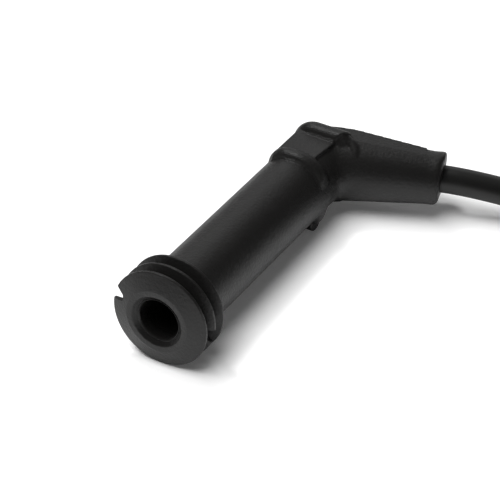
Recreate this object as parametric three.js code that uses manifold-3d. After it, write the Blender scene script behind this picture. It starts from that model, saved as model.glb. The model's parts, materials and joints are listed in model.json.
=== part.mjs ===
// Ignition lead: a moulded elbow boot with three sealing fins for the spark plug, its snap
// terminal, the 7 mm lead that leaves it, and a straight boot with its terminal at the coil end.
// Millimetres. The object lies on the floor z = 0, with +Y along the plug boot's barrel, away
// from its mouth, and its origin under the middle of the plug boot.
import * as THREE from 'three';
import { mergeVertices } from 'three/addons/utils/BufferGeometryUtils.js';
import Module from 'manifold-3d';

const wasm = await Module();
wasm.setup();

// How finely round forms are cut into facets
const ROUND_STEPS = 48;
const COIL_BOOT_STEPS = 36;
const SMALL_STEPS = 24;
const LEAD_SIDES = 10;
const ARC_STEPS = 3;
const BORE_SIDES = 16;
const BEND_STEPS = 6;
const LEAD_STEPS = 24;
const LEAD_SPACING = 6;

// Room left between two pieces that touch
const CLEARANCE = 0.3;

// The lead
const LEAD_RADIUS = 3.5;
const CORE_RADIUS = 0.45;

// Plug boot: the barrel's axis is its own Y axis and the mouth's face is at y = 0
const BARREL_RADIUS = 9.15;
const BORE_RADIUS = 5.4;
const BORE_DEPTH = 27;
const MOUTH = { land: 8.1, flare: 6.75, flareDepth: 1.5, lip: 5.15, lipFrom: 2.2, lipTo: 3.6 };
const FIN = { count: 3, radius: 12.4, edge: 0.8, root: 1.9, sweep: 1.4, pitch: 3.7 };
const FIN_CHAMFER = 0.2;
const VENT = { width: 3.9, bottom: 1.6, depth: 2.3, angles: [-75, 102] };
const COLLAR = { start: 63, width: 4.3, radius: 10.65, round: 1.6, padHeight: 10.6, padCorner: 2.4 };
const RIM = { start: 76.2, width: 5.1, radius: 11.1, round: 1.8, padHeight: 10.9, padCorner: 3.2 };
const ELBOW = { y: 78.2, angle: 71, bendRadius: 15, flatFrom: 8, slopeFrom: 3 };
const SLEEVE = {
  length: 31.8, rootRadius: 9.3, endRadius: 6.6, lipRadius: 6.9, lipWidth: 2.2, round: 0.7,
};

// The web inside the bend: where it leaves the barrel and where it meets the sleeve
const WEB = { barrelPlace: 70.2, sleevePlace: 7.7, thickness: 0.2 };

// How far the sleeve leans towards the floor, in degrees round the barrel
const LEAN = 1.2;

// The two flats along the elbow's sides, on the outside of the bend from the parting line
const FLAT = { height: 9, backReach: 6, sleeveCrease: 0.55, sleeveReach: 4.6, sleeveEndReach: 2.8 };
const CREASE = { atCollar: 3.2, atRim: 4.4, behindRim: 6.2, rimDepth: 2.8, overlap: 0.5 };
const RUN_OUT = { start: 26.2, end: 30.2, rise: 1.5 };
const CORNER_RADIUS = 2.4;

// How far the beads stand out of the barrel inside the bend, where they fade
const BEAD_FADE = 0.25;

// Further than any part of the plug boot's section
const BEYOND = 40;

// Snap terminal, the same at both ends, measured from its socket's mouth
const SOCKET = {
  radius: 3.2, length: 10.5, wall: 0.5, flare: 0.25, slots: 3, slotWidth: 1, slotLength: 7.5,
};
const NECK = { length: 2.2, hole: 0.9, web: 0.9 };
const CRIMP = { length: 8, wall: 0.5, seam: 1 };
const CLIP = { wire: 0.35, place: 4.2, opening: 50 };
const TERMINAL_PLACE = 28;
const CHAMBER_END_ROOM = 0.6;

// Coil boot: its mouth's face is at y = 0 and its lead end at y = length
const COIL_BOOT = { length: 39, radius: 7.6, mouthBead: 8.3, beadWidth: 3, neckRadius: 6.2, neckFrom: 28 };
const COIL_BORE = { radius: 5.4, depth: 12 };
const COIL_RIBS = { count: 3, pitch: 3, radius: 8.1, from: 8 };

// The coil of spare lead and its tie
const COIL = { x: 97.2, y: 21.65, turnRadius: 40, turns: 2, corner: 2.4 };
const TIE = { width: 3.6, thick: 0.9, angle: -62, head: 2.6, headWidth: 5.2, tail: 9 };
const COIL_BOOT_OFFSET = { x: 0, y: 34 };

// Points of the lead's free stretches, chosen by hand, on the floor's frame
const RUN_POINTS = [
  [33.5, 45.4, 8.8],
  [43.8, 48.35, 7.1],
  [53.7, 51.1, 5.2],
  [63.1, 53.65, 3.9],
];
const RUN_STEPS = 7;
const TAIL_POINTS = [
  [65.2, 45.65, 15.6],
  [68.6, 49.65, 17.2],
  [72.8, 53.25, 17.85],
  [78.4, 56.05, 18.1],
  [84.6, 56.85, 19.4],
  [90.6, 56.15, 21.4],
];
const TAIL_STEPS = 9;

const RUBBER = { color: 0x1d1d1c, roughness: 0.72, metalness: 0 };
const LEAD_RUBBER = { color: 0x191918, roughness: 0.6, metalness: 0 };
const PRESSED_METAL = { color: 0xb9a77e, roughness: 0.35, metalness: 1 };
const SPRING_METAL = { color: 0xa6a8ab, roughness: 0.3, metalness: 1 };
const CORE_FIBRE = { color: 0x2a2926, roughness: 0.85, metalness: 0 };
const TIE_PLASTIC = { color: 0x222222, roughness: 0.45, metalness: 0 };

const radians = THREE.MathUtils.degToRad;

// A closed three.js geometry as a solid that can be joined and cut
function solid(geometry) {
  const bare = geometry.index ? geometry.clone() : geometry;
  bare.deleteAttribute('normal');
  bare.deleteAttribute('uv');
  const merged = mergeVertices(bare, 1e-4);
  const corners = merged.index.array;
  const faces = [];
  for (let i = 0; i < corners.length; i += 3) {
    const [a, b, c] = [corners[i], corners[i + 1], corners[i + 2]];
    if (a !== b && b !== c && c !== a) faces.push(a, b, c);
  }
  return new wasm.Manifold(new wasm.Mesh({
    numProp: 3,
    vertProperties: new Float32Array(merged.attributes.position.array),
    triVerts: new Uint32Array(faces),
  }));
}

// A solid as a geometry that a mesh can show
function shown(body) {
  const mesh = body.getMesh();
  const geometry = new THREE.BufferGeometry();
  geometry.setAttribute('position', new THREE.BufferAttribute(mesh.vertProperties, 3));
  geometry.setIndex(new THREE.BufferAttribute(mesh.triVerts, 1));
  geometry.computeVertexNormals();
  return geometry;
}

function named(name, body, finish) {
  const mesh = new THREE.Mesh(shown(body), new THREE.MeshStandardMaterial(finish));
  mesh.name = name;
  return mesh;
}

// A surface turned about the Y axis from [radius, y] points, outer wall upwards
function lathed(points, steps = ROUND_STEPS) {
  return new THREE.LatheGeometry(points.map(([r, y]) => new THREE.Vector2(r, y)), steps);
}

function turned(points, steps) {
  return solid(lathed(points, steps));
}

// Points of a rounded corner from one angle to another, in degrees, about a centre
function rounded(centreX, centreY, radius, fromAngle, toAngle, steps = ARC_STEPS) {
  const points = [];
  for (let i = 0; i <= steps; i++) {
    const angle = radians(fromAngle + ((toAngle - fromAngle) * i) / steps);
    points.push([centreX + radius * Math.cos(angle), centreY + radius * Math.sin(angle)]);
  }
  return points;
}

function shapeOf(points) {
  return new THREE.Shape(points.map(([x, y]) => new THREE.Vector2(x, y)));
}

// An outline of [x, y] points carried along Z from 0
function extruded(points, depth) {
  return new THREE.ExtrudeGeometry(shapeOf(points), { depth, bevelEnabled: false });
}

// An outline in plan, carried as far below z = 0 as above it
function slab(points, reach = BEYOND) {
  const geometry = extruded(points, 2 * reach);
  geometry.translate(0, 0, -reach);
  return solid(geometry);
}

// A rectangle with rounded corners
function softBox(left, low, right, high, corner) {
  return [
    ...rounded(right - corner, low + corner, corner, -90, 0),
    ...rounded(right - corner, high - corner, corner, 0, 90),
    ...rounded(left + corner, high - corner, corner, 90, 180),
    ...rounded(left + corner, low + corner, corner, 180, 270),
  ];
}

// A round section carried along a curve
function swept(curve, radius, sides, steps) {
  const section = new THREE.Shape();
  for (let i = 0; i < sides; i++) {
    const angle = (2 * Math.PI * i) / sides;
    const point = [radius * Math.cos(angle), radius * Math.sin(angle)];
    if (i === 0) section.moveTo(...point);
    else section.lineTo(...point);
  }
  return new THREE.ExtrudeGeometry(section, { steps, extrudePath: curve, bevelEnabled: false });
}

function block(width, length, height, x, y, z) {
  const geometry = new THREE.BoxGeometry(width, length, height);
  geometry.translate(x, y, z);
  return solid(geometry);
}

// The turned bead profile of a ring that stands proud of a wall
function beadRing({ start, width, radius, round }, wall) {
  return turned([
    [wall, start],
    ...rounded(radius - round, start + round, round, -75, 0),
    ...rounded(radius - round, start + width - round, round, 0, 60),
    [wall, start + width],
    [wall - 1, start + width],
    [wall - 1, start],
    [wall, start],
  ]);
}

// Barrel, fins and mouth as one turned profile
function barrelBody() {
  const profile = [[0, 0], [MOUTH.land, 0]];
  for (let i = 0; i < FIN.count; i++) {
    const edge = FIN.sweep + i * FIN.pitch;
    const root = edge - FIN.sweep;
    if (i > 0) profile.push([BARREL_RADIUS, root]);
    profile.push([FIN.radius - FIN_CHAMFER, edge]);
    profile.push([FIN.radius, edge + FIN_CHAMFER]);
    profile.push([FIN.radius, edge + FIN.edge - FIN_CHAMFER]);
    profile.push([FIN.radius - FIN_CHAMFER, edge + FIN.edge]);
    profile.push([BARREL_RADIUS, root + FIN.root]);
  }
  profile.push([BARREL_RADIUS, ELBOW.y]);
  profile.push([0, ELBOW.y]);
  return turned(profile);
}

// The round corner outside the bend
function bendCorner() {
  const geometry = new THREE.SphereGeometry(SLEEVE.rootRadius, ROUND_STEPS, ROUND_STEPS / 2);
  geometry.translate(0, ELBOW.y, 0);
  return solid(geometry);
}

// A notch in a fin's edge that lets air past the seal
function ventNotch(index) {
  const tip = FIN.radius - VENT.depth;
  const length = FIN.sweep + FIN.edge + CLEARANCE;
  const open = VENT.width - VENT.bottom / 2;
  const geometry = extruded([
    [-VENT.bottom / 2, tip],
    [VENT.bottom / 2, tip],
    [open, FIN.radius + VENT.depth],
    [-open, FIN.radius + VENT.depth],
  ], length);
  geometry.rotateX(Math.PI / 2);
  geometry.translate(0, index * FIN.pitch + length, 0);
  geometry.rotateY(radians(VENT.angles[index]));
  return solid(geometry);
}

// Turns a solid's geometry that stands along Y onto the sleeve's axis
function ontoSleeve(geometry) {
  geometry.rotateZ(-radians(ELBOW.angle));
  geometry.translate(0, ELBOW.y, 0);
  return solid(geometry);
}

function sleeveRadius(along) {
  return SLEEVE.rootRadius + ((SLEEVE.endRadius - SLEEVE.rootRadius) * along) / SLEEVE.length;
}

function sleeveBody() {
  const { length, lipRadius, lipWidth, round } = SLEEVE;
  const points = [
    [0, 0],
    [SLEEVE.rootRadius, 0],
    [sleeveRadius(length - lipWidth), length - lipWidth],
    [lipRadius, length - lipWidth / 2],
    ...rounded(lipRadius - round, length - round, round, 0, 90),
    [0, length],
  ];
  return ontoSleeve(lathed(points));
}

// A point given along and across the sleeve, in the boot's plan
function onSleeve(along, across) {
  const angle = radians(ELBOW.angle);
  return [
    along * Math.sin(angle) + across * Math.cos(angle),
    ELBOW.y + along * Math.cos(angle) - across * Math.sin(angle),
  ];
}

// Height of the flats along the sleeve, with the run-out that stops them before the end lip
function flatProfile() {
  const { start, end, rise } = RUN_OUT;
  const fall = (SLEEVE.rootRadius - SLEEVE.endRadius) / SLEEVE.length;
  const low = FLAT.height - fall * (start - ELBOW.slopeFrom);
  const points = [[-BEYOND, FLAT.height], [ELBOW.slopeFrom, FLAT.height], [start, low]];
  for (let i = 1; i <= ARC_STEPS; i++) {
    const t = i / ARC_STEPS;
    points.push([start + (end - start) * t, low + rise * t * t]);
  }
  return points;
}

// The space above (side 1) or below (side -1) the flats, in the sleeve's direction
function beyondFlat(side) {
  const line = flatProfile();
  const last = line[line.length - 1];
  const outline = [...line, [last[0], BEYOND], [-BEYOND, BEYOND]].map(([along, z]) => [along, side * z]);
  const geometry = extruded(outline, 2 * BEYOND);
  geometry.translate(0, 0, -BEYOND);
  geometry.rotateX(Math.PI / 2);
  geometry.rotateZ(radians(90 - ELBOW.angle));
  geometry.translate(0, ELBOW.y, 0);
  return solid(geometry);
}

// The parting crease in plan, from the collar over the rim to the sleeve
function creaseLine(overlap) {
  return [
    [CREASE.atCollar + overlap, COLLAR.start],
    [CREASE.atRim + overlap, RIM.start],
    [CREASE.behindRim + overlap, RIM.start + CREASE.rimDepth],
    onSleeve(ELBOW.flatFrom, FLAT.sleeveCrease + overlap),
  ];
}

// Plan of everything on the outer side of the parting line
function outerZone() {
  return [
    ...creaseLine(0),
    onSleeve(RUN_OUT.end, FLAT.sleeveCrease),
    onSleeve(RUN_OUT.end, -BEYOND),
    [-BEYOND, ELBOW.y + BEYOND],
    [-BEYOND, COLLAR.start],
  ];
}

// Plan of the flat-sided body that fills the outside of the bend
function outerBlock() {
  const { backReach, sleeveReach, sleeveEndReach, sleeveCrease } = FLAT;
  const far = RIM.start + RIM.width - CREASE.overlap;
  const left = -backReach;
  return [
    ...creaseLine(CREASE.overlap),
    onSleeve(RUN_OUT.start, sleeveCrease),
    onSleeve(RUN_OUT.start, -sleeveEndReach),
    onSleeve(ELBOW.flatFrom, -sleeveReach),
    ...rounded(left + CORNER_RADIUS, far - CORNER_RADIUS, CORNER_RADIUS, 90, 180),
    [left, COLLAR.start + COLLAR.width / 2],
    [CREASE.atCollar, COLLAR.start + COLLAR.width / 2],
  ];
}

// A bead's flat-topped part on the outer side, with its edges and outer corners rounded
function beadPad({ start, width, round, padHeight, padCorner }, right) {
  const left = -FLAT.backReach;
  const far = start + width;
  const plan = slab([
    [right, start],
    [right, far],
    ...rounded(left + CORNER_RADIUS, far - CORNER_RADIUS, CORNER_RADIUS, 90, 180),
    [left, start],
  ], padHeight);
  const across = extruded(softBox(left, -padHeight, right + 2 * padCorner, padHeight, padCorner), 2 * width);
  across.rotateX(Math.PI / 2);
  across.translate(0, far + width / 2, 0);
  const lengthwise = extruded(softBox(start, -padHeight, far, padHeight, round), 2 * BEYOND);
  lengthwise.rotateX(Math.PI / 2);
  lengthwise.rotateZ(Math.PI / 2);
  lengthwise.translate(-BEYOND, 0, 0);
  return plan.intersect(solid(across)).intersect(solid(lengthwise));
}

// The web that eases the inside of the bend, tangent to the barrel and the sleeve
function bendWeb() {
  const disc = (radius, place) => lathed([
    [0, place],
    [radius, place],
    [radius, place + WEB.thickness],
    [0, place + WEB.thickness],
  ]);
  const atBarrel = solid(disc(BARREL_RADIUS, WEB.barrelPlace));
  const atSleeve = ontoSleeve(disc(sleeveRadius(WEB.sleevePlace), WEB.sleevePlace));
  return wasm.Manifold.hull([atBarrel, atSleeve]);
}

// The lead's way through the elbow: up the barrel, round the bend and along the sleeve
function elbowCurve(from, to) {
  const turn = radians(ELBOW.angle);
  const reach = ELBOW.bendRadius * Math.tan(turn / 2);
  const points = [new THREE.Vector3(0, from, 0)];
  for (let y = from + LEAD_SPACING; y < ELBOW.y - reach - LEAD_SPACING / 2; y += LEAD_SPACING) {
    points.push(new THREE.Vector3(0, y, 0));
  }
  for (let i = 0; i <= BEND_STEPS; i++) {
    const angle = (turn * i) / BEND_STEPS;
    const x = ELBOW.bendRadius * (1 - Math.cos(angle));
    const y = ELBOW.y - reach + ELBOW.bendRadius * Math.sin(angle);
    points.push(new THREE.Vector3(x, y, 0));
  }
  for (const share of [0.25, 0.6, 1]) {
    points.push(new THREE.Vector3(...onSleeve(reach + (to - reach) * share, 0), 0));
  }
  return new THREE.CatmullRomCurve3(points, false, 'centripetal');
}

const TERMINAL_LENGTH = SOCKET.length + NECK.length + CRIMP.length;
const CRIMP_INNER = LEAD_RADIUS + CLEARANCE;
const CRIMP_OUTER = CRIMP_INNER + CRIMP.wall;
const SOCKET_OUTER = SOCKET.radius + SOCKET.wall;
const CLIP_RADIUS = SOCKET_OUTER + CLEARANCE + CLIP.wire;
const CHAMBER_RADIUS = Math.max(CRIMP_OUTER, CLIP_RADIUS + CLIP.wire) + CLEARANCE;
const LEAD_BORE = LEAD_RADIUS + CLEARANCE;

// The mouth, bore and terminal chamber as one turned profile
function plugCavity() {
  const { flare, flareDepth, lip, lipFrom, lipTo } = MOUTH;
  const chamberEnd = TERMINAL_PLACE + TERMINAL_LENGTH + CHAMBER_END_ROOM;
  return turned([
    [0, -1],
    [flare + 0.6, -1],
    [flare, 0],
    [BORE_RADIUS + 0.4, flareDepth],
    [lip, lipFrom],
    [lip, lipTo],
    [BORE_RADIUS, lipTo + 0.5],
    [BORE_RADIUS, BORE_DEPTH],
    [CHAMBER_RADIUS, BORE_DEPTH + 0.5],
    [CHAMBER_RADIUS, chamberEnd],
    [LEAD_BORE, chamberEnd + 0.8],
    [0, chamberEnd + 0.8],
  ]);
}

function plugBoot() {
  const beadZone = slab([
    [-FLAT.backReach, 0],
    [BARREL_RADIUS + BEAD_FADE, 0],
    [BARREL_RADIUS + BEAD_FADE, RIM.start + RIM.width],
    [-FLAT.backReach, RIM.start + RIM.width],
  ]);
  const zone = slab(outerZone());
  const collar = beadRing(COLLAR, BARREL_RADIUS).intersect(beadZone).add(beadPad(COLLAR, 0));
  const rimPad = beadPad(RIM, CREASE.behindRim + CREASE.overlap).intersect(zone);
  const rim = beadRing(RIM, BARREL_RADIUS).intersect(beadZone).subtract(zone).add(rimPad);
  let round = barrelBody().add(bendCorner()).add(sleeveBody()).add(bendWeb());
  let filler = slab(outerBlock());
  for (const side of [1, -1]) {
    const above = beyondFlat(side);
    round = round.subtract(above.intersect(zone));
    filler = filler.subtract(above);
  }
  let body = round.add(collar).add(rim).add(filler);
  for (let i = 0; i < VENT.angles.length; i++) body = body.subtract(ventNotch(i));
  const boreStart = TERMINAL_PLACE + TERMINAL_LENGTH;
  const boreCurve = elbowCurve(boreStart, SLEEVE.length + SLEEVE.lipWidth);
  const leadBore = swept(boreCurve, LEAD_BORE / Math.cos(Math.PI / BORE_SIDES), BORE_SIDES, LEAD_STEPS);
  return body.subtract(plugCavity()).subtract(solid(leadBore));
}

// Pressed snap terminal: slotted socket, waist and open crimp barrel, its socket's mouth at y = 0
function terminalBody() {
  const neckEnd = SOCKET.length + NECK.length;
  let body = turned([
    [SOCKET.radius + SOCKET.flare, 0],
    [SOCKET_OUTER + SOCKET.flare, 0],
    [SOCKET_OUTER, 1],
    [SOCKET_OUTER, SOCKET.length],
    [SOCKET_OUTER - 0.9, SOCKET.length + NECK.length / 2],
    [CRIMP_OUTER, neckEnd],
    [CRIMP_OUTER, TERMINAL_LENGTH],
    [CRIMP_INNER, TERMINAL_LENGTH],
    [CRIMP_INNER, neckEnd + 0.2],
    [NECK.hole, neckEnd - NECK.web / 2],
    [NECK.hole, neckEnd - NECK.web],
    [SOCKET.radius, SOCKET.length - 0.4],
    [SOCKET.radius, 1],
    [SOCKET.radius + SOCKET.flare, 0],
  ], SMALL_STEPS);
  for (let i = 0; i < SOCKET.slots; i++) {
    const slot = new THREE.BoxGeometry(SOCKET.slotWidth, SOCKET.slotLength + 1, SOCKET_OUTER * 2);
    slot.translate(0, (SOCKET.slotLength - 1) / 2, SOCKET_OUTER);
    slot.rotateY((2 * Math.PI * i) / SOCKET.slots);
    body = body.subtract(solid(slot));
  }
  const seamPlace = TERMINAL_LENGTH - CRIMP.length / 2 + 1;
  return body.subtract(block(CRIMP.seam, CRIMP.length + 1, CRIMP_INNER, 0, seamPlace, CRIMP_OUTER));
}

// The wire spring that grips the plug's nut through the socket's slots
function clipBody() {
  const start = radians(90 + CLIP.opening / 2);
  const sweep = radians(360 - CLIP.opening);
  const points = [];
  for (let i = 0; i <= SMALL_STEPS; i++) {
    const angle = start + (sweep * i) / SMALL_STEPS;
    points.push(new THREE.Vector3(CLIP_RADIUS * Math.cos(angle), CLIP.place, CLIP_RADIUS * Math.sin(angle)));
  }
  return solid(swept(new THREE.CatmullRomCurve3(points), CLIP.wire, 6, SMALL_STEPS));
}

// The lead's bared core, bent over the jacket's end and laid in the crimp's groove
const CORE_SEAT = LEAD_RADIUS - CORE_RADIUS - 0.2;
const JACKET_START = SOCKET.length + NECK.length + 2 * CORE_RADIUS + 2 * CLEARANCE + 0.3;

function coreBody() {
  const front = SOCKET.length + NECK.length + 0.2 + CLEARANCE + CORE_RADIUS;
  const curve = new THREE.CatmullRomCurve3([
    new THREE.Vector3(0, front, -0.4),
    new THREE.Vector3(0, front, CORE_SEAT - 1),
    new THREE.Vector3(0, front + 0.4, CORE_SEAT - 0.2),
    new THREE.Vector3(0, front + 1.2, CORE_SEAT),
    new THREE.Vector3(0, front + 5.5, CORE_SEAT),
  ]);
  return solid(swept(curve, CORE_RADIUS, 8, 12));
}

// The groove that the core is pressed into, from the jacket's end at y = start
function coreGroove(start) {
  const depth = LEAD_RADIUS - CORE_SEAT + CORE_RADIUS + CLEARANCE;
  const width = 2 * (CORE_RADIUS + CLEARANCE);
  return block(width, 7.5, depth + 1, 0, start + 2.6, LEAD_RADIUS - depth / 2 + 0.5);
}

function plugLeadEnd() {
  const start = TERMINAL_PLACE + JACKET_START;
  const jacket = solid(swept(elbowCurve(start, LEAD_SPLIT), LEAD_RADIUS, LEAD_SIDES, LEAD_STEPS));
  return jacket.subtract(coreGroove(start));
}

// How far inside a boot's lead end the free stretch of the lead begins
const LEAD_SEAT = 4;
const LEAD_SPLIT = SLEEVE.length - LEAD_SEAT - 3;

// Coil boot, mouth at y = 0
function coilBoot() {
  const { length, radius, mouthBead, beadWidth, neckRadius, neckFrom } = COIL_BOOT;
  const profile = [
    [0, 0],
    ...rounded(mouthBead - 0.8, 0.8, 0.8, -90, 0),
    [mouthBead, beadWidth],
    [radius, beadWidth + 0.8],
  ];
  for (let i = 0; i < COIL_RIBS.count; i++) {
    const y = COIL_RIBS.from + i * COIL_RIBS.pitch;
    profile.push([radius, y]);
    profile.push([COIL_RIBS.radius, y + 0.4]);
    profile.push([COIL_RIBS.radius, y + 1.2]);
    profile.push([radius, y + 1.6]);
  }
  profile.push([radius, neckFrom - 3]);
  profile.push([neckRadius, neckFrom]);
  profile.push([neckRadius - 0.4, length - 2]);
  profile.push([neckRadius, length - 1.4]);
  profile.push(...rounded(neckRadius - 0.6, length - 0.6, 0.6, 0, 90));
  profile.push([0, length]);
  const chamberEnd = COIL_BORE.depth + 1 + TERMINAL_LENGTH + CHAMBER_END_ROOM;
  const cavity = turned([
    [0, -1],
    [COIL_BORE.radius + 1, -1],
    [COIL_BORE.radius + 0.8, 0],
    [COIL_BORE.radius, 1],
    [COIL_BORE.radius, COIL_BORE.depth],
    [CHAMBER_RADIUS, COIL_BORE.depth + 0.5],
    [CHAMBER_RADIUS, chamberEnd],
    [LEAD_BORE, chamberEnd + 0.8],
    [LEAD_BORE, length + 1],
    [0, length + 1],
  ], COIL_BOOT_STEPS);
  return turned(profile, COIL_BOOT_STEPS).subtract(cavity);
}

function coilLeadEnd() {
  const start = COIL_BORE.depth + 1 + JACKET_START;
  const end = COIL_BOOT.length - LEAD_SEAT;
  const geometry = new THREE.CylinderGeometry(LEAD_RADIUS, LEAD_RADIUS, end - start, LEAD_SIDES);
  geometry.translate(0, (start + end) / 2, 0);
  return solid(geometry).subtract(coreGroove(start));
}

// The terminal with its clip and the lead's core, placed along a boot's axis
function terminalSet(prefix, place) {
  const set = new THREE.Group();
  set.add(named(`${prefix}_terminal`, terminalBody(), PRESSED_METAL));
  set.add(named(`${prefix}_terminal_clip`, clipBody(), SPRING_METAL));
  set.add(named(`${prefix}_lead_core`, coreBody(), CORE_FIBRE));
  set.position.y = place;
  return set;
}

// Plug boot group, lowered so that its fins and rim pad both touch the floor
const plugEnd = new THREE.Group();
plugEnd.add(named('plug_boot', plugBoot(), RUBBER));
plugEnd.add(terminalSet('plug', TERMINAL_PLACE));
plugEnd.add(named('plug_lead_end', plugLeadEnd(), LEAD_RUBBER));
const lastFin = FIN.sweep + (FIN.count - 1) * FIN.pitch + FIN.edge;
const rimEdge = RIM.start + RIM.width - RIM.round;
const rimDepth = RIM.padHeight * Math.cos(radians(LEAN)) + CREASE.behindRim * Math.sin(radians(LEAN));
plugEnd.rotation.x = -Math.asin((FIN.radius - rimDepth) / (rimEdge - lastFin));
plugEnd.rotation.y = radians(LEAN);

const object = new THREE.Group();
object.add(plugEnd);
object.updateMatrixWorld(true);
const bounds = new THREE.Box3().setFromObject(plugEnd, true);
const middle = bounds.getCenter(new THREE.Vector3());
plugEnd.position.set(-middle.x, -middle.y, -bounds.min.z);
object.updateMatrixWorld(true);

// Free lead from inside the sleeve to the coil
function freeRun() {
  const [x0, y0] = onSleeve(LEAD_SPLIT + CLEARANCE, 0);
  const [x1, y1] = onSleeve(SLEEVE.length + 2, 0);
  const start = plugEnd.localToWorld(new THREE.Vector3(x0, y0, 0));
  const exit = plugEnd.localToWorld(new THREE.Vector3(x1, y1, 0));
  const points = [start, exit, ...RUN_POINTS.map((point) => new THREE.Vector3(...point))];
  const curve = new THREE.CatmullRomCurve3(points, false, 'centripetal');
  return solid(swept(curve, LEAD_RADIUS, LEAD_SIDES, RUN_STEPS));
}

const COIL_HEIGHT = 2 * LEAD_RADIUS * COIL.turns;

// The wound turns as one ring, grown by some room all round
function turnsRing(room) {
  const inner = COIL.turnRadius - LEAD_RADIUS - room;
  const outer = COIL.turnRadius + LEAD_RADIUS + room;
  const top = COIL_HEIGHT + room;
  const corner = COIL.corner;
  const ring = new THREE.LatheGeometry([
    ...rounded(outer - corner, corner - room, corner, -90, 0, 2),
    ...rounded(outer - corner, top - corner, corner, 0, 90, 2),
    ...rounded(inner + corner, top - corner, corner, 90, 180, 2),
    ...rounded(inner + corner, corner - room, corner, 180, 270, 2),
    [outer - corner, -room],
  ].map(([r, y]) => new THREE.Vector2(r, y)), ROUND_STEPS);
  ring.rotateX(Math.PI / 2);
  ring.translate(COIL.x, COIL.y, 0);
  return solid(ring);
}

// The ring with a groove underneath where the tie passes
function coilRing() {
  const width = TIE.width + 2 * CLEARANCE;
  const height = 2 * (TIE.thick + CLEARANCE);
  return turnsRing(0).subtract(tieAt(block(4 * LEAD_RADIUS, width, height, COIL.turnRadius, 0, 0)));
}

// Places a solid made at the ring's +X side at the tie's angle
function tieAt(body) {
  const geometry = shown(body);
  geometry.deleteAttribute('normal');
  geometry.rotateZ(radians(TIE.angle));
  geometry.translate(COIL.x, COIL.y, 0);
  return solid(geometry);
}

// A strap looped round the turns, with its locking head and cut tail on top
function tieBody() {
  const gap = LEAD_RADIUS + CLEARANCE;
  const out = gap + TIE.thick;
  const top = COIL_HEIGHT + 2 * TIE.thick + 2 * CLEARANCE;
  const outline = shapeOf([
    [-out + 1.5, 0], [out - 1.5, 0], [out, 1.5], [out, top - 1.5],
    [out - 1.5, top], [-out + 1.5, top], [-out, top - 1.5], [-out, 1.5],
  ]);
  const hole = shapeOf([
    [-gap + 1, TIE.thick], [-gap, 1 + TIE.thick], [-gap, top - TIE.thick - 1], [-gap + 1, top - TIE.thick],
    [gap - 1, top - TIE.thick], [gap, top - TIE.thick - 1], [gap, 1 + TIE.thick], [gap - 1, TIE.thick],
  ]);
  outline.holes.push(hole);
  const strap = new THREE.ExtrudeGeometry(outline, { depth: TIE.width, bevelEnabled: false });
  strap.rotateX(Math.PI / 2);
  strap.translate(COIL.turnRadius, TIE.width / 2, 0);
  const headHeight = TIE.thick + TIE.head;
  const head = block(4.4, TIE.headWidth, headHeight, COIL.turnRadius - 0.6, 0, top - TIE.thick + headHeight / 2);
  const tailX = COIL.turnRadius - 0.6 - TIE.tail / 2;
  const tail = block(TIE.tail, TIE.width - 0.6, TIE.thick, tailX, 0, top + TIE.thick);
  return tieAt(solid(strap).add(head).add(tail));
}

function tailRun() {
  const points = TAIL_POINTS.map((point) => new THREE.Vector3(...point));
  const mouth = coilEnd.localToWorld(new THREE.Vector3(0, COIL_BOOT.length, 0));
  const last = coilEnd.localToWorld(new THREE.Vector3(0, COIL_BOOT.length - LEAD_SEAT + CLEARANCE, 0));
  const curve = new THREE.CatmullRomCurve3([...points, mouth, last], false, 'centripetal');
  return solid(swept(curve, LEAD_RADIUS, LEAD_SIDES, TAIL_STEPS)).subtract(turnsRing(CLEARANCE));
}

// Coil boot group, lying on the coil with its mouth towards +X
const coilAxisHeight = COIL_HEIGHT + CLEARANCE + COIL_BOOT.mouthBead;
const coilEnd = new THREE.Group();
coilEnd.add(named('coil_boot', coilBoot(), RUBBER));
coilEnd.add(terminalSet('coil', COIL_BORE.depth + 1));
coilEnd.add(named('coil_lead_end', coilLeadEnd(), LEAD_RUBBER));
coilEnd.rotation.z = Math.PI / 2;
coilEnd.position.set(
  COIL.x + COIL_BOOT_OFFSET.x + COIL_BOOT.length,
  COIL.y + COIL_BOOT_OFFSET.y,
  coilAxisHeight,
);
coilEnd.updateMatrixWorld(true);
object.add(coilEnd);

object.add(named('lead_run', freeRun(), LEAD_RUBBER));
object.add(named('lead_coil', coilRing(), LEAD_RUBBER));
object.add(named('lead_tail', tailRun(), LEAD_RUBBER));
object.add(named('coil_tie', tieBody(), TIE_PLASTIC));

export default object;
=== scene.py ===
import json
import math

import bpy
from bpy.props import FloatProperty, FloatVectorProperty, IntProperty, PointerProperty
from mathutils import Matrix, Vector


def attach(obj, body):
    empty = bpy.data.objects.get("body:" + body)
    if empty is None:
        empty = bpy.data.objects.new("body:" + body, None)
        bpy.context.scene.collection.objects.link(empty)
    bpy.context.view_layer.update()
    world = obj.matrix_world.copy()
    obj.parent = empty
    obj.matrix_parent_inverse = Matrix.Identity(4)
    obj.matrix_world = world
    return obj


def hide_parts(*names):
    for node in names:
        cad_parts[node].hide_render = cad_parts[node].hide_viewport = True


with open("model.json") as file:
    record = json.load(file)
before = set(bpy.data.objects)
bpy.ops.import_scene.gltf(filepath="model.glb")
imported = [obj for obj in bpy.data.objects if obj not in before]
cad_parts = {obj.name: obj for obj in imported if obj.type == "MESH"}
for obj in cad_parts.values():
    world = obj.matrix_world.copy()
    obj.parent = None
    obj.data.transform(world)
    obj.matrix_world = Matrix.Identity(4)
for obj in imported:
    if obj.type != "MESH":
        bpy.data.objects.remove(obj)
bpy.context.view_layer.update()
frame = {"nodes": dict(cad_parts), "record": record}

bl_info = {
    "name": "Spark plug wire",
    "version": (1, 0, 0),
    "blender": (4, 5, 0),
    "location": "View3D > Sidebar > Plug wire",
    "description": "Moulded rubber boots, coiled ignition lead and a studio floor round the packed part",
    "category": "Object",
}

MM = 0.001

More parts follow.
